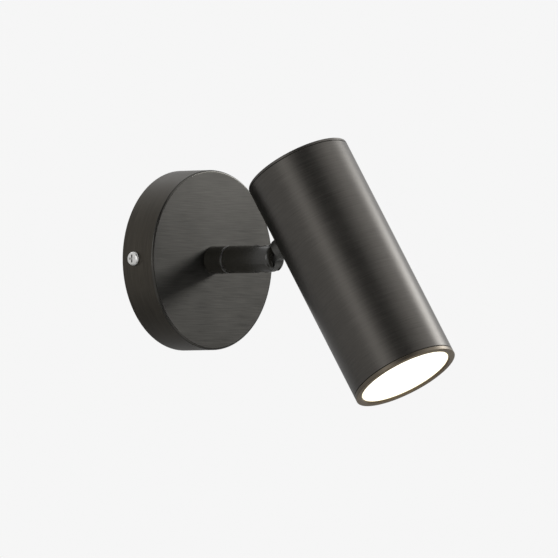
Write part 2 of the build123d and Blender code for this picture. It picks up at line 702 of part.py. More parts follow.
# Knuckle: a round tongue on the pivot screw, a neck, and a hollow threaded stub into the head
with BuildPart() as knuckle:
    with BuildSketch(side(KNUCKLE, (-TONGUE_THICKNESS / 2, 0, 0))):
        Circle(TONGUE_DIAMETER / 2)
        Rectangle(TONGUE_NECK_WIDTH, NECK_FROM_PIVOT, align=(Align.CENTER, Align.MIN))
    extrude(amount=TONGUE_THICKNESS)
    add(rod(KNUCKLE, NECK_DIAMETER / 2, NECK_FROM_PIVOT, OUTER_SADDLE_SEAT))
    add(rod(KNUCKLE, M10 / 2, OUTER_SADDLE_SEAT, STUB_END))
    add(rod(KNUCKLE, KNUCKLE_BORE / 2, KNUCKLE_BORE_FROM_PIVOT, 2 * STUB_END), mode=Mode.SUBTRACT)
    add(rod(pin_hole, M4 / 2 + RUNNING_ROOM, -ARM_RADIUS, ARM_RADIUS), mode=Mode.SUBTRACT)
save(knuckle, "knuckle")

# Saddle washers, shaped to the outside and the inside of the head's tube
HEAD_REACH = 2 * HEAD_LENGTH
with BuildPart() as outer_saddle:
    add(
        sleeve(
            KNUCKLE,
            M10 / 2 + SLIP_ROOM,
            OUTER_SADDLE_DIAMETER / 2,
            OUTER_SADDLE_SEAT,
            HEAD_AXIS_FROM_PIVOT,
        )
    )
    add(rod(HEAD, HEAD_RADIUS + FACE_ROOM, -HEAD_REACH, HEAD_REACH), mode=Mode.SUBTRACT)
save(outer_saddle, "outer_saddle")

with BuildPart() as inner_saddle:
    add(
        sleeve(
            KNUCKLE,
            M10 / 2 + SLIP_ROOM,
            INNER_SADDLE_DIAMETER / 2,
            HEAD_FROM_PIVOT,
            INNER_SADDLE_SEAT,
        )
    )
    add(rod(HEAD, HEAD_BORE_RADIUS - FACE_ROOM, -HEAD_REACH, HEAD_REACH), mode=Mode.INTERSECT)
save(inner_saddle, "inner_saddle")

with BuildPart() as knuckle_nut:
    add(hex_nut(KNUCKLE, INNER_SADDLE_SEAT))
save(knuckle_nut, "knuckle_nut")

# Head tube and the cap on its top end
with BuildPart() as head_tube:
    add(sleeve(HEAD, HEAD_BORE_RADIUS, HEAD_RADIUS, TUBE_START, TUBE_END))
    add(rod(KNUCKLE, M10 / 2 + SLIP_ROOM, 0, HEAD_AXIS_FROM_PIVOT), mode=Mode.SUBTRACT)
save(head_tube, "head_tube")

with BuildPart() as top_cap:
    spigot_radius = HEAD_BORE_RADIUS - SLIP_ROOM
    add(
        turned(
            HEAD,
            [
                (0, 0),
                (HEAD_RADIUS - CAP_EDGE, 0),
                (HEAD_RADIUS, CAP_EDGE),
                (HEAD_RADIUS, CAP_RIM),
                (spigot_radius, CAP_RIM),
                (spigot_radius, CAP_RIM + CAP_SPIGOT_LENGTH),
                (spigot_radius - CAP_SPIGOT_WALL, CAP_RIM + CAP_SPIGOT_LENGTH),
                (spigot_radius - CAP_SPIGOT_WALL, CAP_RIM),
                (0, CAP_RIM),
            ],
        )
    )
save(top_cap, "top_cap")

# Front bezel, with the diffuser behind its lip
with BuildPart() as bezel:
    spigot_inner_radius = spigot_radius - BEZEL_SPIGOT_WALL
    band_back = HEAD_LENGTH - BEZEL_BAND
    add(
        turned(
            HEAD,
            [
                (spigot_inner_radius, band_back - BEZEL_SPIGOT_LENGTH),
                (spigot_radius, band_back - BEZEL_SPIGOT_LENGTH),
                (spigot_radius, band_back),
                (HEAD_RADIUS, band_back),
                (HEAD_RADIUS, HEAD_LENGTH - BEZEL_EDGE),
                (HEAD_RADIUS - BEZEL_EDGE, HEAD_LENGTH),
                (BEZEL_OPENING / 2, HEAD_LENGTH),
                (BEZEL_OPENING / 2, DIFFUSER_FRONT),
                (spigot_inner_radius, DIFFUSER_FRONT),
            ],
        )
    )
save(bezel, "bezel")

with BuildPart() as diffuser:
    add(rod(HEAD, DIFFUSER_RADIUS, DIFFUSER_BACK, DIFFUSER_FRONT))
save(diffuser, "diffuser")

GASKET_INNER_RADIUS = DIFFUSER_RADIUS - GASKET_WIDTH
with BuildPart() as diffuser_gasket:
    add(sleeve(HEAD, GASKET_INNER_RADIUS, DIFFUSER_RADIUS, REFLECTOR_FRONT, DIFFUSER_BACK))
save(diffuser_gasket, "diffuser_gasket")

# Reflector: a thin cone from a foot on the board to a flange under the gasket
with BuildPart() as reflector:
    foot_end = BOARD_FRONT + REFLECTOR_FOOT_HEIGHT
    flange_back = REFLECTOR_FRONT - REFLECTOR_WALL
    add(
        turned(
            HEAD,
            [
                (REFLECTOR_FOOT_RADIUS, BOARD_FRONT),
                (REFLECTOR_FOOT_OUTSIDE, BOARD_FRONT),
                (REFLECTOR_FOOT_OUTSIDE, foot_end),
                (GASKET_INNER_RADIUS + REFLECTOR_WALL, flange_back),
                (DIFFUSER_RADIUS, flange_back),
                (DIFFUSER_RADIUS, REFLECTOR_FRONT),
                (GASKET_INNER_RADIUS, REFLECTOR_FRONT),
                (REFLECTOR_FOOT_RADIUS, foot_end),
            ],
        )
    )
save(reflector, "reflector")

# Board with its chips, screwed to the heat sink
LEAD_HOLE_PLACE = (0, LED_LEAD_RADIUS)
with BuildPart() as led_board:
    with BuildSketch(HEAD.offset(BOARD_BACK)):
        Circle(BOARD_DIAMETER / 2)
        with PolarLocations(BOARD_SCREW_CIRCLE / 2, BOARD_SCREW_COUNT, start_angle=-90):
            Circle(M3 / 2 + SHANK_ROOM, mode=Mode.SUBTRACT)
        with Locations(LEAD_HOLE_PLACE):
            Circle(LED_LEAD_HOLE / 2, mode=Mode.SUBTRACT)
    extrude(amount=BOARD_THICKNESS)
save(led_board, "led_board")

with BuildPart() as led_chips:
    with BuildSketch(HEAD.offset(BOARD_FRONT)):
        Rectangle(LED_SIDE, LED_SIDE)
        with PolarLocations(LED_CIRCLE / 2, LED_RING_COUNT):
            Rectangle(LED_SIDE, LED_SIDE)
    extrude(amount=LED_THICKNESS)
save(led_chips, "led_chips")

with BuildPart() as board_screws:
    for turn in range(BOARD_SCREW_COUNT):
        angle = radians(-90 + turn * 360 / BOARD_SCREW_COUNT)
        place = (BOARD_SCREW_CIRCLE / 2 * cos(angle), BOARD_SCREW_CIRCLE / 2 * sin(angle), BOARD_FRONT)
        add(pan_screw(plane_in(HEAD, place, (1, 0, 0), (0, 0, 1)), M3, BOARD_SCREW_LENGTH))
save(board_screws, "board_screws")

with BuildPart() as heat_sink:
    add(rod(HEAD, spigot_radius, SINK_BACK, BOARD_BACK))
    add(rod(HEAD, SINK_HUB_DIAMETER / 2, FIN_END, SINK_BACK))
    fin_radius = HEAD_BORE_RADIUS - SINK_FIN_INSET
    with BuildSketch(HEAD.offset(FIN_END)):
        with PolarLocations(0, SINK_FIN_COUNT, start_angle=180 / SINK_FIN_COUNT):
            Rectangle(fin_radius, SINK_FIN_THICKNESS, align=(Align.MIN, Align.CENTER))
    extrude(amount=SINK_FIN_LENGTH)
    with BuildSketch(HEAD.offset(BOARD_BACK)):
        with PolarLocations(BOARD_SCREW_CIRCLE / 2, BOARD_SCREW_COUNT, start_angle=-90):
            Circle(M3 / 2 + THREAD_ROOM)
    extrude(amount=-BOARD_SCREW_LENGTH, mode=Mode.SUBTRACT)
    with BuildSketch(HEAD.offset(BOARD_BACK)):
        with Locations(LEAD_HOLE_PLACE):
            Circle(LED_LEAD_HOLE / 2)
    extrude(amount=-SINK_BASE, mode=Mode.SUBTRACT)
    with BuildSketch(HEAD.offset(FIN_END)):
        Circle(M4 / 2 + THREAD_ROOM)
    extrude(amount=SHELF_SCREW_LENGTH, mode=Mode.SUBTRACT)
save(heat_sink, "heat_sink")

# Driver shelf: a bent plate, its foot on the heat sink's hub and its upright behind the driver
SHELF_FACE = -DRIVER_BACK
SHELF_UPRIGHT_START = DRIVER_REAR + DRIVER_SCREW_INSET - SHELF_PAST_SCREW
DRIVER_SCREWS = [(0, DRIVER_REAR + DRIVER_SCREW_INSET), (0, DRIVER_FRONT - DRIVER_SCREW_INSET)]
with BuildPart() as driver_shelf:
    with BuildSketch(HEAD.offset(SHELF_BACK)):
        with Locations((0, SHELF_FACE - SHELF_THICKNESS)):
            Rectangle(
                SHELF_WIDTH,
                DRIVER_BACK + SHELF_THICKNESS + SINK_HUB_DIAMETER / 2,
                align=(Align.CENTER, Align.MIN),
            )
        Circle(M4 / 2 + SHANK_ROOM, mode=Mode.SUBTRACT)
    extrude(amount=SHELF_THICKNESS)
    with BuildSketch(HEAD.offset(SHELF_UPRIGHT_START)):
        with Locations((0, SHELF_FACE)):
            Rectangle(SHELF_WIDTH, SHELF_THICKNESS, align=(Align.CENTER, Align.MAX))
    extrude(amount=SHELF_BACK - SHELF_UPRIGHT_START)
    with BuildSketch(plane_in(HEAD, (0, SHELF_FACE, 0), (1, 0, 0), (0, -1, 0))):
        with Locations(*DRIVER_SCREWS):
            Circle(M3 / 2 + SHANK_ROOM)
    extrude(amount=SHELF_THICKNESS, mode=Mode.SUBTRACT)
save(driver_shelf, "driver_shelf")

with BuildPart() as shelf_screw:
    add(pan_screw(plane_in(HEAD, (0, 0, SHELF_BACK), (1, 0, 0), (0, 0, -1)), M4, SHELF_SCREW_LENGTH))
save(shelf_screw, "shelf_screw")

# Driver: a moulded case with its lid, on the shelf's upright
DRIVER_MIDDLE = DRIVER_DEPTH / 2 - DRIVER_BACK
with BuildPart() as driver_case:
    with BuildSketch(HEAD.offset(DRIVER_REAR)):
        with Locations((0, DRIVER_MIDDLE - DRIVER_LID / 2)):
            RectangleRounded(DRIVER_WIDTH, DRIVER_DEPTH - DRIVER_LID, DRIVER_EDGE)
    extrude(amount=DRIVER_LENGTH)
    with BuildSketch(plane_in(HEAD, (0, SHELF_FACE, 0), (1, 0, 0), (0, -1, 0))):
        with Locations(*DRIVER_SCREWS):
            Circle(M3 / 2 + THREAD_ROOM)
    extrude(amount=-DRIVER_SCREW_LENGTH, mode=Mode.SUBTRACT)
save(driver_case, "driver_case")

with BuildPart() as driver_lid:
    with BuildSketch(HEAD.offset(DRIVER_REAR)):
        with Locations((0, DRIVER_DEPTH - DRIVER_BACK)):
            Rectangle(DRIVER_WIDTH - 2 * DRIVER_EDGE, DRIVER_LID, align=(Align.CENTER, Align.MAX))
    extrude(amount=DRIVER_LENGTH)
save(driver_lid, "driver_lid")

with BuildPart() as driver_screws:
    for x, z in DRIVER_SCREWS:
        driver_seat = plane_in(HEAD, (x, SHELF_FACE - SHELF_THICKNESS, z), (1, 0, 0), (0, -1, 0))
        add(pan_screw(driver_seat, M3, DRIVER_SCREW_LENGTH))
save(driver_screws, "driver_screws")

# Leads inside the head: from the knuckle's stub to the driver, and from the driver to the board
STUB_MOUTH = STUB_END - HEAD_AXIS_FROM_PIVOT
LEAD_LOOP_Y = (STUB_MOUTH + SHELF_FACE - SHELF_THICKNESS) / 2
LEAD_LOOP_Z = (CAP_RIM + DRIVER_REAR) / 2
LEAD_IN_STUB = KNUCKLE_BORE_FROM_PIVOT + LEAD_DIAMETER - HEAD_AXIS_FROM_PIVOT
with BuildPart() as driver_leads:
    for lead_x in (-LEAD_PITCH / 2, LEAD_PITCH / 2):
        add(
            lead(
                HEAD,
                [
                    (lead_x, 0, DRIVER_REAR),
                    (lead_x, 0, LEAD_LOOP_Z),
                    (lead_x, LEAD_LOOP_Y, LEAD_LOOP_Z),
                    (lead_x, LEAD_LOOP_Y, TOP_END_ABOVE_PIVOT),
                    (lead_x, LEAD_IN_STUB, TOP_END_ABOVE_PIVOT),
                ],
                LEAD_BEND,
            )
        )
save(driver_leads, "driver_leads")

with BuildPart() as led_leads:
    lead_start_y = DRIVER_DEPTH - DRIVER_BACK - DRIVER_LID - LEAD_DIAMETER
    for lead_x in (-LEAD_PITCH / 2, LEAD_PITCH / 2):
        add(
            lead(
                HEAD,
                [
                    (lead_x, lead_start_y, DRIVER_FRONT),
                    (lead_x, lead_start_y, DRIVER_FRONT + LEAD_STRAIGHT),
                    (lead_x, LED_LEAD_RADIUS, FIN_END - LEAD_BEND),
                    (lead_x, LED_LEAD_RADIUS, BOARD_FRONT),
                ],
                LEAD_BEND,
            )
        )
save(led_leads, "led_leads")
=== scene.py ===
import json
from collections import namedtuple
from math import acos, cos, pi, radians, sin, tan, tau

import bpy
from mathutils import Matrix, Vector


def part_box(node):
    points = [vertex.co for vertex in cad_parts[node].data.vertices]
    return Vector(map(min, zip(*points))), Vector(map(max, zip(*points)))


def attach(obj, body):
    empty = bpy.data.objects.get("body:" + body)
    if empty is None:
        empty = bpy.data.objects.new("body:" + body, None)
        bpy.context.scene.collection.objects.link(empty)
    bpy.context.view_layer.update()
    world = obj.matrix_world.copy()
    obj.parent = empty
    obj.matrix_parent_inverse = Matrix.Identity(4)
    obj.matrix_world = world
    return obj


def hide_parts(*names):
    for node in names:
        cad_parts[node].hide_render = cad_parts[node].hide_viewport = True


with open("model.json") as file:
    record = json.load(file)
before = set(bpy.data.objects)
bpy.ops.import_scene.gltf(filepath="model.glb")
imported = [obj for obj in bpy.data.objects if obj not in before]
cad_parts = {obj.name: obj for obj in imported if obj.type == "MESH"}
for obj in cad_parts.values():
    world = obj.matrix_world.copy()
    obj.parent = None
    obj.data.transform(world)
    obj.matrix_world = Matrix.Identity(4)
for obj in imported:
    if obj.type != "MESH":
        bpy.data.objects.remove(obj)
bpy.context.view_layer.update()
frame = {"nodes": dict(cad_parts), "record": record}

MM = 0.001

# View: where the camera stands, and how far the picture's middle lies from the origin
VIEW_AZIMUTH = radians(-48.390)
VIEW_ELEVATION = radians(-1.416)
VIEW_DISTANCE = 7.683
VIEW_RIGHT = 53.50 * MM
VIEW_UP = -10.17 * MM
PIXELS_PER_METRE = 1798.2
PICTURE_SIDE = 558
SENSOR_WIDTH = 36.0

# Finer shells: how round they are, the size of their roundings, their walls and the slits between them
TURNS = 192
EDGE_STEPS = 5
CANOPY_EDGE = 1.1 * MM
BACK_EDGE = 0.35 * MM
TUBE_EDGE = 0.25 * MM
CAP_EDGE = 0.35 * MM
BEZEL_EDGE = 0.25 * MM
LIP_EDGE = 0.5 * MM
LIP_SLOPE = 1.0 * MM
HIDDEN_EDGE = 0.1 * MM
CANOPY_WALL = 1.2 * MM
CAP_WALL = 2.0 * MM
SEAM = 0.25 * MM
SLIP = 0.1 * MM

# Edges sharper than this angle stay sharp
SHARP_ANGLE = radians(50)

# Faces of a shell that look forward by more than these shares, and their finish's place after the side's
FLAT_NORMAL = 0.999
EDGE_NORMAL = 0.02
# On the front ring, the faces past this share get the finish with the brighter painted warm lamp glow
RING_GLOW_FACE_NORMAL = 0.5
FACE_FINISH = 1
EDGE_FINISH = 2

# Noise: where its values mostly lie, and how fine it is in brush lines, bands, grains and soft patches
NOISE_LOW = 0.3
NOISE_HIGH = 0.7
LINE_DETAIL = 2
BAND_DETAIL = 3
BRUSH_CLOUD_DETAIL = 3
GRAIN_DETAIL = 4
GRAIN_CLOUD_DETAIL = 2

# Brush lines, and the grain and soft patches of the other finishes
BRUSH_LENGTH = 16 * MM
LINE_WIDTH = 0.32 * MM
BAND_WIDTH = 0.5 * MM
CLOUD_SIZE = 25 * MM
LINE_SHARE = 0.25
BAND_SHARE = 0.5
CLOUD_SHARE = 0.25
BRUSH_DEPTH = 0.004 * MM
BRUSH_GLOSS = 0.06
ROUND_GRAIN_TURN = 0.25
STRAIGHT_GRAIN_TURN = 0.0
GRAIN_SHARE = 0.5
GRAIN_GLOSS = 0.15

# Brushed metals: colour, how much it changes along the lines, roughness and how far the sheen is drawn out
Brushed = namedtuple("Brushed", "colour change roughness sheen")
CANOPY_METAL = Brushed((0.0418, 0.0402, 0.0364), 0.36, 0.46, 0.5)
CANOPY_SIDE_METAL = Brushed((0.0450, 0.0404, 0.0335), 0.36, 0.46, 0.5)
CANOPY_EDGE_METAL = Brushed((0.0418, 0.0402, 0.0364), 0.36, 0.26, 0.5)
HEAD_METAL = Brushed((0.0660, 0.0619, 0.0564), 0.24, 0.45, 0.6)
# The ring's colours hold painted light: its side is lighter and warmer than the head's metal with painted
# warm lamp glow, and its face is brighter still with more of it
RING_SIDE_GLOW_METAL = Brushed((0.105, 0.090, 0.070), 0.20, 0.45, 0.6)
RING_FACE_GLOW_METAL = Brushed((0.152, 0.117, 0.074), 0.20, 0.45, 0.6)

# Other finishes, by the record's material slots: name, colour, how much it changes with the grain,
# metal or not, roughness, the grain's size and its relief
Grained = namedtuple("Grained", "name colour change metallic roughness grain depth")
METAL = 1.0
NO_METAL = 0.0
SLOT_FINISHES = {
    "arm_metal":
        Grained("satin_lacquer", (0.0180, 0.0168, 0.0138), 0.3, NO_METAL, 0.22, 0.25 * MM, 0.006 * MM),
    "bracket_steel":
        Grained("zinc_sheet", (0.62, 0.62, 0.60), 0.12, METAL, 0.36, 2.0 * MM, 0.004 * MM),
    "shelf_steel":
        Grained("shelf_zinc", (0.62, 0.62, 0.60), 0.12, METAL, 0.38, 2.0 * MM, 0.004 * MM),
    "bright_screw":
        Grained("bright_nickel", (0.56, 0.556, 0.543), 0.15, METAL, 0.26, 0.4 * MM, 0.01 * MM),
    "zinc_steel":
        Grained("zinc_plate", (0.60, 0.60, 0.58), 0.10, METAL, 0.32, 0.6 * MM, 0.004 * MM),
    "washer_steel":
        Grained("turned_steel", (0.55, 0.55, 0.55), 0.08, METAL, 0.28, 0.3 * MM, 0.003 * MM),
    "black_screw":
        Grained("black_oxide", (0.03, 0.03, 0.032), 0.2, METAL, 0.40, 0.3 * MM, 0.004 * MM),
    "friction_nylon":
        Grained("black_nylon", (0.03, 0.03, 0.03), 0.2, NO_METAL, 0.55, 0.3 * MM, 0.004 * MM),
    "brass_clamp":
        Grained("turned_brass", (0.70, 0.50, 0.22), 0.08, METAL, 0.28, 0.5 * MM, 0.003 * MM),
    "block_plastic":
        Grained("white_polyamide", (0.80, 0.79, 0.75), 0.04, NO_METAL, 0.45, 0.5 * MM, 0.01 * MM),
    "grommet_rubber":
        Grained("black_rubber", (0.025, 0.025, 0.025), 0.2, NO_METAL, 0.7, 0.4 * MM, 0.01 * MM),
    "earth_wire":
        Grained("earth_insulation", (0.20, 0.42, 0.06), 0.1, NO_METAL, 0.4, 0.8 * MM, 0.004 * MM),
    "lead_wire":
        Grained("grey_insulation", (0.50, 0.49, 0.47), 0.06, NO_METAL, 0.42, 0.8 * MM, 0.004 * MM),
    "gasket_silicone":
        Grained("white_silicone", (0.75, 0.75, 0.73), 0.03, NO_METAL, 0.6, 0.6 * MM, 0.006 * MM),
    "reflector_white":
        Grained("reflector_gloss", (0.86, 0.86, 0.84), 0.03, NO_METAL, 0.22, 1.0 * MM, 0.004 * MM),
    "board_white":
        Grained("solder_mask", (0.82, 0.83, 0.82), 0.03, NO_METAL, 0.35, 0.8 * MM, 0.004 * MM),
    "led_phosphor":
        Grained("phosphor", (0.88, 0.72, 0.20), 0.05, NO_METAL, 0.5, 0.4 * MM, 0.004 * MM),
    "sink_aluminium":
        Grained("extruded_aluminium", (0.68, 0.68, 0.69), 0.08, METAL, 0.38, 0.8 * MM, 0.006 * MM),
    "driver_plastic":
        Grained("driver_shell", (0.80, 0.80, 0.78), 0.03, NO_METAL, 0.5, 0.5 * MM, 0.012 * MM),
    "driver_lid_plastic":
        Grained("driver_cover", (0.74, 0.74, 0.72), 0.03, NO_METAL, 0.5, 0.5 * MM, 0.012 * MM),
}

# Finishes of single nodes that look different from others in their slot
NODE_FINISHES = {
    "knuckle":
        Grained("blasted_steel", (0.070, 0.069, 0.065), 0.35, METAL, 0.42, 0.5 * MM, 0.02 * MM),
    # The outer saddle is darker than the other black nylon: painted shade for its shadowed underside
    "outer_saddle":
        Grained("saddle_painted_shade", (0.012, 0.012, 0.012), 0.2, NO_METAL, 0.5, 0.3 * MM, 0.004 * MM),
}

# Lamp: the lit opal disc, warmer and dimmer from a share of its radius outwards
OPAL_COLOUR = (0.9, 0.88, 0.84)
OPAL_ROUGHNESS = 0.35
LAMP_COLOUR = (1.0, 0.99, 0.97)
LAMP_EDGE_COLOUR = (0.84, 0.72, 0.42)
LAMP_EDGE_START = 0.80
LAMP_STRENGTH = 1.25

# Studio: surroundings, floor, dark panels and soft lights, in metres
BACKGROUND = (0.921, 0.921, 0.921)
AMBIENT = 0.8
FLOOR_HEIGHT = -0.32
FLOOR_HALF = 2.0
FLOOR_FADE = 0.6
FLOOR_COLOUR = (0.9, 0.9, 0.9)
FLOOR_ROUGHNESS = 0.9
STAGE_MIDDLE = Vector((0.0, -0.1, 0.0))
FLAG_ROUGHNESS = 1.0
BLACK_FLAG = (0.04, 0.04, 0.04)
DARK_FLAG = (0.15, 0.15, 0.15)
GREY_FLAG = (0.4, 0.4, 0.4)
Softbox = namedtuple("Softbox", "name place size radiance")
SOFTBOXES = (
    Softbox("key", Vector((0.44, -0.31, 0.212)), (0.26, 0.15), 15.5),
    Softbox("fill", Vector((-0.77, -0.20, 0.12)), (0.25, 0.5), 2.5),
    Softbox("top", Vector((0.39, -0.66, 0.73)), (0.5, 0.8), 1.2),
    Softbox("back", Vector((0.20, 0.75, 0.64)), (0.75, 0.4), 0.85),
)

Span = namedtuple("Span", "start end inner outer")


def middle(node):
    """The middle of a node's box."""
    low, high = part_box(node)
    return (low + high) / 2


def local_frame(origin, axis, aside):
    """A frame with its z along the axis and its x as near to the second direction as it can be."""
    z = axis.normalized()
    x = (aside - aside.dot(z) * z).normalized()
    turn = Matrix((x, z.cross(x), z)).transposed().to_4x4()
    return Matrix.Translation(origin) @ turn


def span(node, local):
    """A node's start and end along a frame's z, and its smallest and largest radius about it."""
    to_local = local.inverted()
    points = [to_local @ vertex.co for vertex in frame["nodes"][node].data.vertices]
    heights = [point.z for point in points]
    radii = [point.xy.length for point in points]
    return Span(min(heights), max(heights), min(radii), max(radii))


# Frames: the canopy's z runs out from the wall, and the head's z runs along the beam from its top end
OUT = Vector((0, -1, 0))
SIDE = Vector((1, 0, 0))
CANOPY_FRAME = local_frame(Vector((0, 0, 0)), OUT, SIDE)
BEAM = (middle("diffuser") - middle("head_tube")).normalized()
TOP_DEPTH = span("top_cap", local_frame(middle("head_tube"), BEAM, SIDE)).start
HEAD_FRAME = local_frame(middle("head_tube") + TOP_DEPTH * BEAM, BEAM, SIDE)

# Flags: dark panels that the gloss shows, each with its long side along a direction
Flag = namedtuple("Flag", "name place size aside colour")
FLAGS = (
    Flag("front_flag", Vector((-0.434, -0.538, 0.509)), (1.2, 0.6), BEAM, DARK_FLAG),
    Flag("side_flag", Vector((0.68, -0.62, -0.16)), (0.7, 0.4), SIDE, DARK_FLAG),
    Flag("low_flag", Vector((0.06, 0.02, -0.24)), (0.6, 0.5), SIDE, GREY_FLAG),
    Flag("edge_flag", Vector((-0.12, -0.17, -0.20)), (0.15, 0.15), SIDE, BLACK_FLAG),
)


# Meshes


def rounded(corners):
    """An outline with its corners rounded. A corner is a radius, a height and its rounding's size."""
    points = []
    for index, (radius, height, size) in enumerate(corners):
        here = Vector((radius, height))
        if size == 0:
            points.append(here)
            continue
        before = (Vector(corners[index - 1][:2]) - here).normalized()
        after = (Vector(corners[(index + 1) % len(corners)][:2]) - here).normalized()
        half = acos(max(-1, min(1, before.dot(after)))) / 2
        centre = here + (before + after).normalized() * size / sin(half)
        start = here + before * size / tan(half) - centre
        end = here + after * size / tan(half) - centre
        for step in range(EDGE_STEPS + 1):
            points.append(centre + start.lerp(end, step / EDGE_STEPS).normalized() * size)
    return points


def new_piece(name, vertices, faces, local):
    """A mesh object placed by a local frame, smooth but for its sharp edges."""
    mesh = bpy.data.meshes.new(name)
    mesh.from_pydata(vertices, [], faces)
    mesh.validate()
    mesh.shade_smooth()
    mesh.set_sharp_from_angle(angle=SHARP_ANGLE)
    piece = bpy.data.objects.new(name, mesh)
    piece.matrix_world = local
    bpy.context.scene.collection.objects.link(piece)
    return piece


def flat_panel(name, width, height, local):
    """A flat rectangle about a frame's origin."""
    x, y = width / 2, height / 2
    return new_piece(name, [(-x, -y, 0), (x, -y, 0), (x, y, 0), (-x, y, 0)], [(0, 1, 2, 3)], local)


def turned(name, outline, local):
    """A solid of revolution about a frame's z, from a closed outline of radius and height."""
    vertices, faces, rings = [], [], []
    for radius, height in outline:
        start = len(vertices)
        if radius == 0:
            vertices.append((0, 0, height))
            rings.append([start] * TURNS)
            continue
        for turn in range(TURNS):
            angle = tau * turn / TURNS
            vertices.append((radius * cos(angle), radius * sin(angle), height))
        rings.append(list(range(start, start + TURNS)))
    for index, ring in enumerate(rings):
        other = rings[(index + 1) % len(rings)]
        if ring[0] == ring[1] and other[0] == other[1]:
            continue
        for turn in range(TURNS):
            after = (turn + 1) % TURNS
            corners = [ring[turn], ring[after], other[after], other[turn]]
            faces.append(list(dict.fromkeys(corners)))
    return new_piece(name, vertices, faces, local)


def drilled(piece, local, radius, reach):
    """Cuts a round hole through a piece, along a frame's z from its origin."""
    drill = turned("drill", [(0, 0), (radius, 0), (radius, reach), (0, reach)], local)
    cut = piece.modifiers.new("cut", "BOOLEAN")
    cut.object = drill
    bpy.context.view_layer.update()
    mesh = bpy.data.meshes.new_from_object(piece.evaluated_get(bpy.context.evaluated_depsgraph_get()))
    mesh.set_sharp_from_angle(angle=SHARP_ANGLE)
    piece.modifiers.remove(cut)
    piece.data = mesh
    bpy.data.objects.remove(drill)


# Materials: node helpers


def add_node(tree, kind, inputs, **settings):
    """Adds a node, sets or links its inputs and gives back its first output."""
    made = tree.nodes.new("ShaderNode" + kind)
    for name, value in settings.items():
        setattr(made, name, value)
    for name, value in inputs.items():
        if isinstance(value, bpy.types.NodeSocket):
            tree.links.new(value, made.inputs[name])
        else:
            made.inputs[name].default_value = value
    return made.outputs[0]


def worked_out(tree, operation, *values):
    """A number worked out from others, each a value or a socket."""
    return add_node(tree, "Math", dict(enumerate(values)), operation=operation)


def distance(tree, place):
    """How far a place lies from its origin."""
    made = tree.nodes.new("ShaderNodeVectorMath")
    made.operation = "LENGTH"
    tree.links.new(place, made.inputs[0])
    return made.outputs["Value"]


def ramp(tree, value, low, low_colour, high, high_colour):
    """A colour that runs from one to another while a value runs from low to high."""
    made = tree.nodes.new("ShaderNodeValToRGB")
    tree.links.new(value, made.inputs["Fac"])
    first, last = made.color_ramp.elements
    first.position, last.position = low, high
    first.color = (*low_colour, 1)
    last.color = (*high_colour, 1)
    return made.outputs["Color"]


def new_material(name, metallic, roughness):
    """A principled material, its tree and its shader."""
    made = bpy.data.materials.new(name)
    made.use_nodes = True
    shader = made.node_tree.nodes["Principled BSDF"]
    shader.inputs["Metallic"].default_value = metallic
    shader.inputs["Roughness"].default_value = roughness
    return made, made.node_tree, shader


def object_place(tree):
    """The place on the object, in metres in its own frame."""
    return tree.nodes.new("ShaderNodeTexCoord").outputs["Object"]


def stretched(tree, place, sizes):
    """A place measured in steps of the three sizes."""
    steps = tuple(1 / size for size in sizes)
    return add_node(tree, "VectorMath", {0: place, 1: steps}, operation="MULTIPLY")


def straight_place(tree, place, along, across):
    """A place for marks that run along x."""
    return stretched(tree, place, (along, across, across))


def turned_place(tree, place, around, across):
    """A place for marks that run round the z axis: long round it, short along the outline."""
    part = tree.nodes.new("ShaderNodeSeparateXYZ")
    tree.links.new(place, part.inputs[0])
    flat = add_node(tree, "VectorMath", {0: place, 1: (1, 1, 0)}, operation="MULTIPLY")
    outline = worked_out(tree, "ADD", part.outputs["Z"], distance(tree, flat))
    x = worked_out(tree, "MULTIPLY", part.outputs["X"], 1 / around)
    y = worked_out(tree, "MULTIPLY", part.outputs["Y"], 1 / around)
    z = worked_out(tree, "MULTIPLY", outline, 1 / across)
    return add_node(tree, "CombineXYZ", {0: x, 1: y, 2: z})


def noise(tree, place, detail):
    """Noise over a place, from 0 to 1."""
    return add_node(tree, "TexNoise", {"Vector": place, "Scale": 1.0, "Detail": detail})


def clouds(tree, place, detail):
    """Noise in soft patches."""
    return noise(tree, stretched(tree, place, (CLOUD_SIZE,) * 3), detail)


def spread(tree, value, low, high):
    """Noise spread over a range."""
    limits = {"From Min": NOISE_LOW, "From Max": NOISE_HIGH, "To Min": low, "To Max": high}
    return add_node(tree, "MapRange", {"Value": value, **limits})


def shade(tree, value, colour, change):
    """A colour made darker and lighter by a share, with noise."""
    dark = [part * (1 - change) for part in colour]
    light = [part * (1 + change) for part in colour]
    return ramp(tree, value, NOISE_LOW, dark, NOISE_HIGH, light)


def bump(tree, shader, value, depth):
    """Relief of a depth from noise."""
    relief = add_node(tree, "Bump", {"Height": value, "Strength": 1.0, "Distance": depth})
    tree.links.new(relief, shader.inputs["Normal"])


# Materials


def brushed_metal(name, finish, place_of, grain_turn):
    """Metal with fine brush lines. The place says how they run, and the turn sets the sheen across them."""
    made, tree, shader = new_material(name, METAL, finish.roughness)
    place = object_place(tree)
    fine = noise(tree, place_of(tree, place, BRUSH_LENGTH, LINE_WIDTH), LINE_DETAIL)
    wide = noise(tree, place_of(tree, place, BRUSH_LENGTH, BAND_WIDTH), BAND_DETAIL)
    cloud = clouds(tree, place, BRUSH_CLOUD_DETAIL)
    lines = worked_out(tree, "MULTIPLY", fine, LINE_SHARE)
    lines = worked_out(tree, "MULTIPLY_ADD", wide, BAND_SHARE, lines)
    lines = worked_out(tree, "MULTIPLY_ADD", cloud, CLOUD_SHARE, lines)
    tree.links.new(shade(tree, lines, finish.colour, finish.change), shader.inputs["Base Color"])
    gloss = spread(tree, lines, finish.roughness - BRUSH_GLOSS, finish.roughness + BRUSH_GLOSS)
    tree.links.new(gloss, shader.inputs["Roughness"])
    bump(tree, shader, fine, BRUSH_DEPTH)
    shader.inputs["Anisotropic"].default_value = finish.sheen
    shader.inputs["Anisotropic Rotation"].default_value = grain_turn
    return made, tree, shader


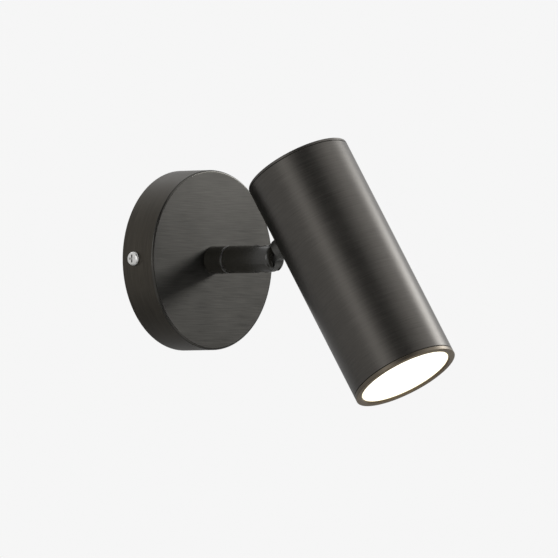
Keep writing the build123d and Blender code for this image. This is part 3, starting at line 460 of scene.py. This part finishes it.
def turned_metal(name, finish):
    """Metal brushed round its own z axis."""
    made, tree, shader = brushed_metal(name, finish, turned_place, ROUND_GRAIN_TURN)
    tangent = tree.nodes.new("ShaderNodeTangent")
    tangent.direction_type = "RADIAL"
    tangent.axis = "Z"
    tree.links.new(tangent.outputs["Tangent"], shader.inputs["Tangent"])
    return made


def straight_metal(name, finish):
    """Metal brushed along its own x axis."""
    made, tree, shader = brushed_metal(name, finish, straight_place, STRAIGHT_GRAIN_TURN)
    across = add_node(
        tree, "VectorTransform", {"Vector": (0, 1, 0)},
        vector_type="VECTOR", convert_from="OBJECT", convert_to="WORLD",
    )
    tree.links.new(across, shader.inputs["Tangent"])
    return made


def grained(finish):
    """A plain finish with a fine grain: shade, gloss and relief all vary with it."""
    made, tree, shader = new_material(finish.name, finish.metallic, finish.roughness)
    place = object_place(tree)
    fine = noise(tree, stretched(tree, place, (finish.grain,) * 3), GRAIN_DETAIL)
    both = worked_out(tree, "ADD", fine, clouds(tree, place, GRAIN_CLOUD_DETAIL))
    both = worked_out(tree, "MULTIPLY", both, GRAIN_SHARE)
    tree.links.new(shade(tree, both, finish.colour, finish.change), shader.inputs["Base Color"])
    low, high = finish.roughness * (1 - GRAIN_GLOSS), finish.roughness * (1 + GRAIN_GLOSS)
    tree.links.new(spread(tree, fine, low, high), shader.inputs["Roughness"])
    bump(tree, shader, fine, finish.depth)
    return made


def opal_lit(name, centre, radius):
    """Opal plastic lit from behind: even over the disc, warmer and dimmer in a narrow ring at its edge."""
    made, tree, shader = new_material(name, NO_METAL, OPAL_ROUGHNESS)
    offset = add_node(tree, "VectorMath", {0: object_place(tree), 1: tuple(centre)}, operation="SUBTRACT")
    share = worked_out(tree, "MULTIPLY", distance(tree, offset), 1 / radius)
    light = ramp(tree, share, LAMP_EDGE_START, LAMP_COLOUR, 1.0, LAMP_EDGE_COLOUR)
    tree.links.new(light, shader.inputs["Emission Color"])
    shader.inputs["Emission Strength"].default_value = LAMP_STRENGTH
    shader.inputs["Base Color"].default_value = (*OPAL_COLOUR, 1)
    return made


def matt(name, colour, roughness):
    """A material with no gloss, its tree and its shader."""
    made, tree, shader = new_material(name, NO_METAL, roughness)
    shader.inputs["Base Color"].default_value = (*colour, 1)
    shader.inputs["Specular IOR Level"].default_value = 0.0
    return made, tree, shader


# Shells


def dress(piece, body, node, slot, *materials):
    """Puts a piece on its body in place of a node, with its finish."""
    for material in materials:
        piece.data.materials.append(material)
    normals = piece.modifiers.new("normals", "WEIGHTED_NORMAL")
    normals.keep_sharp = True
    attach(piece, body)
    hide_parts(node)


def make_canopy():
    """The cup. Its face is brushed straight across, its side and its smoother edge round."""
    cup = span("canopy", CANOPY_FRAME)
    bore = cup.outer - CANOPY_WALL
    inside = cup.end - CANOPY_WALL
    outline = rounded([
        (bore, cup.start, HIDDEN_EDGE),
        (cup.outer, cup.start, BACK_EDGE),
        (cup.outer, cup.end, CANOPY_EDGE),
        (cup.inner, cup.end, HIDDEN_EDGE),
        (cup.inner, inside, HIDDEN_EDGE),
        (bore, inside, HIDDEN_EDGE),
    ])
    piece = turned("canopy_shell", outline, CANOPY_FRAME)
    dress(
        piece, "base", "canopy", "canopy_metal",
        turned_metal("canopy_side", CANOPY_SIDE_METAL),
        straight_metal("canopy_face", CANOPY_METAL),
        turned_metal("canopy_edge", CANOPY_EDGE_METAL),
    )
    for face in piece.data.polygons:
        if face.normal.z > FLAT_NORMAL:
            face.material_index = FACE_FINISH
        elif face.normal.z > EDGE_NORMAL:
            face.material_index = EDGE_FINISH


def make_tube(finish):
    """The head's tube, with the hole that the knuckle's stub goes through."""
    tube = span("head_tube", HEAD_FRAME)
    outline = rounded([
        (tube.inner, tube.start, HIDDEN_EDGE),
        (tube.outer, tube.start, TUBE_EDGE),
        (tube.outer, tube.end, TUBE_EDGE),
        (tube.inner, tube.end, HIDDEN_EDGE),
    ])
    piece = turned("head_shell", outline, HEAD_FRAME)
    pivot = middle("friction_washers")
    stub_frame = local_frame(pivot, middle("knuckle_nut") - pivot, SIDE)
    stub_end = span("knuckle", stub_frame).end + SLIP
    drilled(piece, stub_frame, span("inner_saddle", stub_frame).inner, stub_end)
    dress(piece, "head", "head_tube", "head_metal", finish)


def make_cap(finish):
    """The head's top cap, with a skirt inside the tube and a slit between the two."""
    tube = span("head_tube", HEAD_FRAME)
    cap = span("top_cap", HEAD_FRAME)
    rim_end = tube.start - SEAM
    skirt = tube.inner - SLIP
    outline = rounded([
        (0, cap.start, 0),
        (cap.outer, cap.start, CAP_EDGE),
        (cap.outer, rim_end, TUBE_EDGE),
        (skirt, rim_end, HIDDEN_EDGE),
        (skirt, cap.end, HIDDEN_EDGE),
        (skirt - CAP_WALL, cap.end, HIDDEN_EDGE),
        (skirt - CAP_WALL, rim_end, HIDDEN_EDGE),
        (0, rim_end, 0),
    ])
    dress(turned("cap_shell", outline, HEAD_FRAME), "head", "top_cap", "head_metal", finish)


def make_ring():
    """The front ring, with a slightly sloped lip round the lit disc and a slit behind it. Its colours hold
    painted warm lamp glow, brightest on its face.
    """
    tube = span("head_tube", HEAD_FRAME)
    ring = span("bezel", HEAD_FRAME)
    lens = span("diffuser", HEAD_FRAME)
    seat = lens.outer + SLIP
    skirt = tube.inner - SLIP
    rim_start = tube.end + SEAM
    outline = rounded([
        (seat, ring.start, HIDDEN_EDGE),
        (skirt, ring.start, HIDDEN_EDGE),
        (skirt, rim_start, HIDDEN_EDGE),
        (ring.outer, rim_start, TUBE_EDGE),
        (ring.outer, ring.end, BEZEL_EDGE),
        (ring.inner + LIP_SLOPE, ring.end, LIP_EDGE),
        (ring.inner, lens.end, HIDDEN_EDGE),
        (seat, lens.end, HIDDEN_EDGE),
    ])
    piece = turned("front_ring", outline, HEAD_FRAME)
    dress(
        piece, "head", "bezel", "bezel_metal",
        turned_metal("ring_side_painted_glow", RING_SIDE_GLOW_METAL),
        turned_metal("ring_face_painted_glow", RING_FACE_GLOW_METAL),
    )
    # Faces that look forward take the ring finish with the strongest painted warm lamp glow
    for face in piece.data.polygons:
        if face.normal.z > RING_GLOW_FACE_NORMAL:
            face.material_index = FACE_FINISH


def make_head():
    """The tube, its cap and the front ring."""
    finish = turned_metal("head_finish", HEAD_METAL)
    make_tube(finish)
    make_cap(finish)
    make_ring()


def finish_nodes():
    """Gives every node that no shell replaces its own finish, or else its material slot's."""
    finishes = {slot: grained(finish) for slot, finish in SLOT_FINISHES.items()}
    finishes["opal_diffuser"] = opal_lit("opal_lit", middle("diffuser"), span("bezel", HEAD_FRAME).inner)
    own_finishes = {node: grained(finish) for node, finish in NODE_FINISHES.items()}
    for part in frame["record"]["subparts"]:
        node = frame["nodes"][part["node"]]
        finish = own_finishes.get(part["node"], finishes.get(part["material_slot"]))
        if finish and not node.hide_render:
            node.data.materials.clear()
            node.data.materials.append(finish)


# Stage and light


def make_floor():
    """A pale floor that fades out before its edge, so that no line shows behind the object."""
    local = Matrix.Translation((0, 0, FLOOR_HEIGHT))
    floor = flat_panel("floor", 2 * FLOOR_HALF, 2 * FLOOR_HALF, local)
    made, tree, shader = matt("floor_paper", FLOOR_COLOUR, FLOOR_ROUGHNESS)
    limits = {"From Min": FLOOR_FADE, "From Max": FLOOR_HALF, "To Min": 1.0, "To Max": 0.0}
    fade = add_node(tree, "MapRange", {"Value": distance(tree, object_place(tree)), **limits})
    tree.links.new(fade, shader.inputs["Alpha"])
    floor.data.materials.append(made)


def make_world():
    """Pale surroundings: the camera and gloss see the background, and other light from it is softer."""
    world = bpy.data.worlds.new("studio")
    world.use_nodes = True
    tree = world.node_tree
    background = tree.nodes["Background"]
    background.inputs["Color"].default_value = (*BACKGROUND, 1)
    path = tree.nodes.new("ShaderNodeLightPath").outputs
    seen = worked_out(tree, "MAXIMUM", path["Is Camera Ray"], path["Is Glossy Ray"])
    strength = add_node(tree, "MapRange", {"Value": seen, "To Min": AMBIENT, "To Max": 1.0})
    tree.links.new(strength, background.inputs["Strength"])
    bpy.context.scene.world = world


def make_softbox(box):
    """A rectangle of soft light that faces the object."""
    data = bpy.data.lights.new(box.name, "AREA")
    data.shape = "RECTANGLE"
    data.size, data.size_y = box.size
    data.energy = box.radiance * pi * data.size * data.size_y
    lamp = bpy.data.objects.new(box.name, data)
    lamp.location = box.place
    lamp.rotation_mode = "QUATERNION"
    lamp.rotation_quaternion = (box.place - STAGE_MIDDLE).to_track_quat("Z", "Y")
    lamp.visible_camera = False
    bpy.context.scene.collection.objects.link(lamp)


def make_flag(flag):
    """A dark panel that faces the object. Only gloss shows it."""
    local = local_frame(flag.place, flag.place - STAGE_MIDDLE, flag.aside)
    panel = flat_panel(flag.name, *flag.size, local)
    made, _, _ = matt(flag.name, flag.colour, FLAG_ROUGHNESS)
    panel.data.materials.append(made)
    panel.visible_camera = False
    panel.visible_diffuse = False
    panel.visible_shadow = False


def make_camera():
    """A camera far away with a long lens, which sees the object almost without perspective."""
    azimuth, elevation = VIEW_AZIMUTH, VIEW_ELEVATION
    back = Vector((sin(azimuth) * cos(elevation), -cos(azimuth) * cos(elevation), sin(elevation)))
    right = Vector((cos(azimuth), sin(azimuth), 0))
    up = back.cross(right)
    data = bpy.data.cameras.new("camera")
    data.sensor_width = SENSOR_WIDTH
    data.lens = SENSOR_WIDTH * PIXELS_PER_METRE * VIEW_DISTANCE / PICTURE_SIDE
    camera = bpy.data.objects.new("camera", data)
    camera.location = back * VIEW_DISTANCE + right * VIEW_RIGHT + up * VIEW_UP
    camera.rotation_mode = "QUATERNION"
    camera.rotation_quaternion = (-back).to_track_quat("-Z", "Y")
    bpy.context.scene.collection.objects.link(camera)
    bpy.context.scene.camera = camera


make_canopy()
make_head()
finish_nodes()
make_floor()
make_world()
for box in SOFTBOXES:
    make_softbox(box)
for flag in FLAGS:
    make_flag(flag)
make_camera()
bpy.context.scene.view_settings.view_transform = "Standard"
